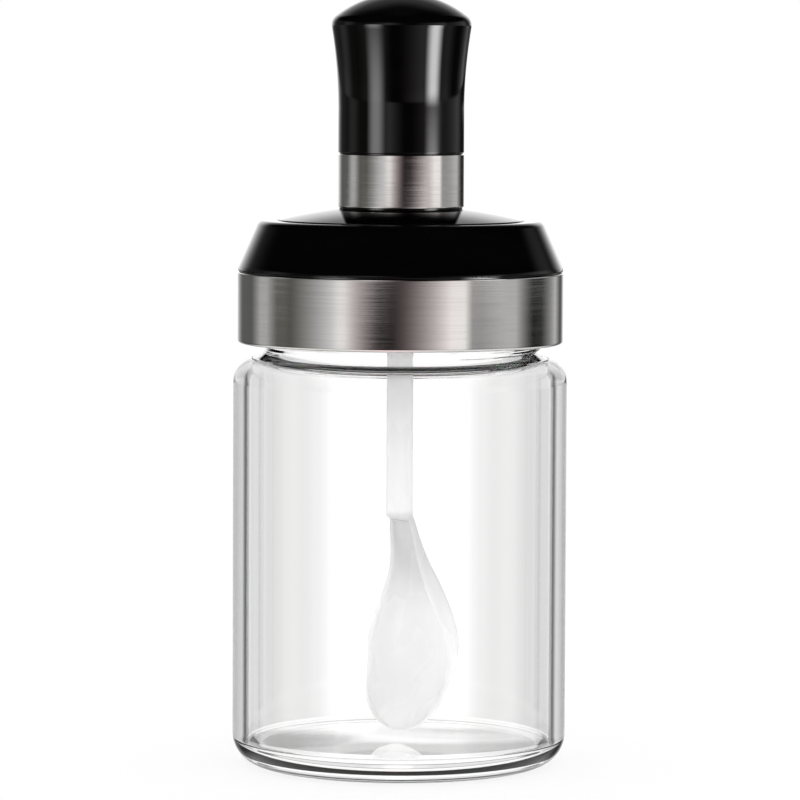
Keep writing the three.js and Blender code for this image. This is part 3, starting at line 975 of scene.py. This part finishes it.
def light_through_glass(x, y, z):
    """What the glass shows through its walls: on each of the four sides a backdrop that is white
    in the middle and pale grey beside it. The front ends in dark edges, the others in cards."""
    behind = x.math("ARCTAN2", x, y) * (180 / math.pi)
    aside = abs(behind - (behind / 90.0).nearest() * 90.0)
    front = 1.0 - abs(behind).ramp(44.0, 46.0)

    def change(amount, low, high):
        return amount * aside.ramp(low, high)

    level = 1.0
    for step in GREY_STEPS:
        level = level - change(*step)
    card = 1.0 - abs(aside - CARD_ANGLE).ramp(*CARD_EDGE)
    level = level + blend(change(*SIDE_CORNER) - CARD_LOSS * card, -change(*FRONT_EDGE), front)
    level = blend(level, ROOM_LEVEL, z.ramp(*ROOM_RISE))
    return blend(level, FLOOR_LEVEL, abs(z).ramp(*STEEP_RISE))


def studio_world(settings):
    """White for the camera, even for matt surfaces, strip lights for gloss and metal, and the
    backdrop for what is seen through the glass."""
    world = bpy.data.worlds.new("studio")
    bpy.context.scene.world = world
    world.cycles.sampling_method = "NONE"
    tree = empty_tree(world)
    ray = add_node(tree, "ShaderNodeLightPath")
    x, y, z = axes(add_node(tree, "ShaderNodeTexCoord").out("Generated"))
    through = ray.out("Is Transmission Ray")
    direct = ray.out("Diffuse Depth") < 0.5
    mirrored = ray.out("Is Glossy Ray") * direct
    light, tint = mirrored_light(tree, x, y, z)
    level = blend(settings.plain_level, settings.inside_level, through)
    level = blend(level, light, mirrored)
    level = blend(level, light_through_glass(x, y, z) * settings.glass_level, through * direct)
    level = blend(level, 1.0, ray.out("Is Camera Ray"))
    tint = mix_colour(tree, mirrored, grey(1.0), tint)
    colour = mix_colour(tree, 1.0, level, tint, mode="MULTIPLY")
    background = add_node(tree, "ShaderNodeBackground", {"Color": colour, "Strength": 1.0})
    add_node(tree, "ShaderNodeOutputWorld", {"Surface": background})


def floor_material(settings):
    """White for the camera, with a share of the jar's shadow, and plain pale grey for the jar."""
    material = bpy.data.materials.new("pale floor")
    tree = empty_tree(material)
    ray = add_node(tree, "ShaderNodeLightPath")
    matt = add_node(tree, "ShaderNodeBsdfDiffuse", {"Color": grey(0.9)})
    shown = add_node(tree, "ShaderNodeBsdfDiffuse", {"Color": grey(settings.shadow_depth)})
    white = add_node(tree, "ShaderNodeEmission", {
        "Color": grey(1.0), "Strength": 1.02 - settings.shadow_depth * settings.plain_level})
    for_camera = add_node(tree, "ShaderNodeAddShader", {0: shown, 1: white})
    both = add_node(tree, "ShaderNodeMixShader", {
        0: ray.out("Is Camera Ray"), 1: matt, 2: for_camera})
    add_node(tree, "ShaderNodeOutputMaterial", {"Surface": both})
    return material


def add_floor(settings):
    half = 3.0
    corners = [(-half, -half, 0.0), (half, -half, 0.0), (half, half, 0.0), (-half, half, 0.0)]
    mesh = bpy.data.meshes.new("studio_floor")
    mesh.from_pydata(corners, [], [(0, 1, 2, 3)])
    floor = add_piece("studio_floor", mesh, floor_material(settings))
    floor.visible_transmission = floor.visible_glossy = False


PANEL_DISTANCE = 1.2
PANEL_LEVEL = 0.135  # the height that a panel's rises are counted from
PANEL_FADE = (0.5, 0.04)  # from the middle across: where the light ends and where it is full


def add_panel(name, turn, spread, rises, level, receivers):
    """A soft light panel that only the polished black pieces mirror. It stands at an angle round
    the jar, from the front towards the right. Its light has four rises, in degrees: it grows from
    the first to the second and fades from the third to the fourth."""
    angle = math.radians(turn)
    heights = [PANEL_LEVEL + PANEL_DISTANCE * math.tan(math.radians(rise)) for rise in rises]
    width = 2 * PANEL_DISTANCE * math.tan(math.radians(spread))
    height = heights[3] - heights[0]
    data = bpy.data.lights.new(name, "AREA")
    data.shape = "RECTANGLE"
    data.size, data.size_y = width, height
    data.energy = level * math.pi * width * height
    tree = empty_tree(data)
    across, up, _ = axes(add_node(tree, "ShaderNodeNewGeometry").out("Parametric"))
    up = up * height + heights[0]
    glow = (abs(across - 0.5).ramp(*PANEL_FADE)
            * up.ramp(heights[0], heights[1]) * up.ramp(heights[3], heights[2]))
    shine = add_node(tree, "ShaderNodeEmission", {"Color": grey(1.0), "Strength": glow})
    add_node(tree, "ShaderNodeOutputLight", {"Surface": shine})
    panel = add_object(name, data)
    panel.location = (PANEL_DISTANCE * math.sin(angle), -PANEL_DISTANCE * math.cos(angle),
                      (heights[0] + heights[3]) / 2)
    panel.rotation_euler = (math.pi / 2, 0.0, angle)
    panel.visible_camera = panel.visible_diffuse = panel.visible_transmission = False
    panel.light_linking.receiver_collection = receivers


CAMERA_PITCH = 4.313
CAMERA_ROLL = 0.26
CAMERA_PLACE = (0.0, -1.0126, 0.153)
FOCAL_PIXELS = 4840
PICTURE_PIXELS = 800
SENSOR_WIDTH = 36.0


def add_camera():
    data = bpy.data.cameras.new("camera")
    data.sensor_width = SENSOR_WIDTH
    data.lens = FOCAL_PIXELS * SENSOR_WIDTH / PICTURE_PIXELS
    data.clip_start, data.clip_end = 0.05, 20.0
    data.dof.use_dof = False
    camera = add_object("camera", data)
    camera.location = CAMERA_PLACE
    level = Matrix.Rotation(math.radians(90 - CAMERA_PITCH), 3, "X")
    camera.rotation_euler = (level @ Matrix.Rotation(math.radians(CAMERA_ROLL), 3, "Z")).to_euler()
    bpy.context.scene.camera = camera


# Operators, one for each group of like pieces

class JAR_OT_glass(bpy.types.Operator):
    """Make the glass jar with its screw thread"""
    bl_idname = "jar.glass"
    bl_label = "Glass jar"

    def execute(self, context):
        threads = context.scene.jar_threads
        outline = dense(glass_outline(), low=86.4, high=94.9, spacing=ROW_GAP)
        turned_piece("jar_glass", "glass_jar", "jar", "clear_glass", outline, thread=dict(
            pitch=threads.pitch, depth=threads.depth, start=THREAD_START, turns=(-0.2, 1.5),
            radii=(27.5, 28.5)))
        return {"FINISHED"}


class JAR_OT_rings(bpy.types.Operator):
    """Make the two silicone rings"""
    bl_idname = "jar.rings"
    bl_label = "Sealing rings"

    def execute(self, context):
        for name, node, body, width, edge in (
                ("gasket_ring", "neck_gasket", "gasket", 4.0, 0.25),
                ("seal_ring", "lid_seal", "lid", 1.3, 0.55)):
            outer, bottom, top = size(node)
            turned_piece(name, node, body, "silicone", ring_outline(
                outer - width, outer, bottom, top, edge))
        return {"FINISHED"}


class JAR_OT_collar(bpy.types.Operator):
    """Make the collar's screw insert and its polished bezel"""
    bl_idname = "jar.collar"
    bl_label = "Collar mouldings"

    def execute(self, context):
        threads = context.scene.jar_threads
        outline = dense(insert_outline(), low=89.3, high=97.5, spacing=ROW_GAP)
        half_a_pitch = threads.pitch / 2 / MM
        turned_piece(
            "insert_moulding", "collar_thread_insert", "collar", "moulded_black", outline,
            thread=dict(pitch=threads.pitch, depth=-threads.depth,
                        start=THREAD_START - half_a_pitch, turns=(0.9, 2.15), radii=(29.3, 29.7)))
        turned_piece("bezel_moulding", "collar_shell", "collar", "gloss_black", bezel_outline())
        return {"FINISHED"}


class JAR_OT_bands(bpy.types.Operator):
    """Make the two brushed steel bands"""
    bl_idname = "jar.bands"
    bl_label = "Steel bands"

    def execute(self, context):
        turned_piece("steel_band", "collar_band", "collar", "brushed_steel", band_outline())
        turned_piece("knob_sleeve", "knob_band", "lid", "brushed_steel", knob_band_outline())
        return {"FINISHED"}


class JAR_OT_lid(bpy.types.Operator):
    """Make the domed lid and the plug under it"""
    bl_idname = "jar.lid"
    bl_label = "Lid mouldings"

    def execute(self, context):
        turned_piece("lid_dome", "lid_cap", "lid", "gloss_black", lid_outline())
        turned_piece("plug_moulding", "lid_plug", "lid", "moulded_black", plug_outline())
        return {"FINISHED"}


class JAR_OT_knob(bpy.types.Operator):
    """Make the knob's foot and handle and the screw that holds them"""
    bl_idname = "jar.knob"
    bl_label = "Knob"

    def execute(self, context):
        turned_piece("knob_foot", "knob_core", "lid", "gloss_black", foot_outline())
        turned_piece("knob_handle", "knob_grip", "lid", "gloss_black", handle_outline())
        outline = dense(screw_outline(), low=108.5, high=140.5, spacing=0.13)
        turned_piece(
            "clamp_screw", "knob_screw", "lid", "zinc_steel", outline, SMALL_SEGMENTS,
            thread=dict(pitch=0.0013, depth=0.00035, start=109.0, turns=(0.0, 24.0),
                        radii=(1.2, 1.3)))
        return {"FINISHED"}


class JAR_OT_spoon(bpy.types.Operator):
    """Make the scoop and its stem as one moulding"""
    bl_idname = "jar.spoon"
    bl_label = "Spoon"

    def execute(self, context):
        piece = add_piece("scoop_spoon", spoon_mesh("scoop_spoon"), material_for("milky_plastic"))
        hand_over(piece, "lid", "milky_plastic", "spoon")
        return {"FINISHED"}


class JAR_OT_stage(bpy.types.Operator):
    """Set up the camera, the light and the pale floor"""
    bl_idname = "jar.stage"
    bl_label = "Stage"

    def execute(self, context):
        studio = context.scene.jar_studio
        context.scene.view_settings.view_transform = "Standard"
        studio_world(studio)
        add_floor(studio)
        add_camera()
        polished = bpy.data.collections.new("polished black pieces")
        context.scene.collection.children.link(polished)
        for name in ("bezel_moulding", "lid_dome", "knob_foot", "knob_handle"):
            polished.objects.link(bpy.data.objects[name])
        add_panel("left light panel", turn=-47, spread=20, rises=(-24, -3, 1, 8), level=7.5,
                  receivers=polished)
        add_panel("right light panel", turn=59, spread=18, rises=(-34, -20, -4.5, 0), level=26.0,
                  receivers=polished)
        return {"FINISHED"}


class JAR_PT_panel(bpy.types.Panel):
    """Lists the jar's pieces in the order in which they are made"""
    bl_idname = "JAR_PT_panel"
    bl_label = "Seasoning jar"
    bl_space_type = "VIEW_3D"
    bl_region_type = "UI"
    bl_category = "Jar"

    def draw(self, context):
        for operator in OPERATORS:
            self.layout.operator(operator.bl_idname)
        scene = context.scene
        for group in (scene.jar_finishes, scene.jar_threads, scene.jar_studio):
            for name in group.__annotations__:
                self.layout.prop(group, name)


OPERATORS = (JAR_OT_glass, JAR_OT_rings, JAR_OT_collar, JAR_OT_bands, JAR_OT_lid, JAR_OT_knob,
             JAR_OT_spoon, JAR_OT_stage)
GROUPS = {"jar_finishes": JAR_PG_finishes, "jar_threads": JAR_PG_threads,
          "jar_studio": JAR_PG_studio}


def register():
    for kind in (*GROUPS.values(), *OPERATORS, JAR_PT_panel):
        bpy.utils.register_class(kind)
    for name, kind in GROUPS.items():
        setattr(bpy.types.Scene, name, bpy.props.PointerProperty(type=kind))


def unregister():
    for name in GROUPS:
        delattr(bpy.types.Scene, name)
    for kind in (JAR_PT_panel, *reversed(OPERATORS), *reversed(GROUPS.values())):
        bpy.utils.unregister_class(kind)


def main():
    register()
    for operator in (bpy.ops.jar.glass, bpy.ops.jar.rings, bpy.ops.jar.collar, bpy.ops.jar.bands,
                     bpy.ops.jar.lid, bpy.ops.jar.knob, bpy.ops.jar.spoon, bpy.ops.jar.stage):
        operator()


if __name__ == "__main__":
    main()
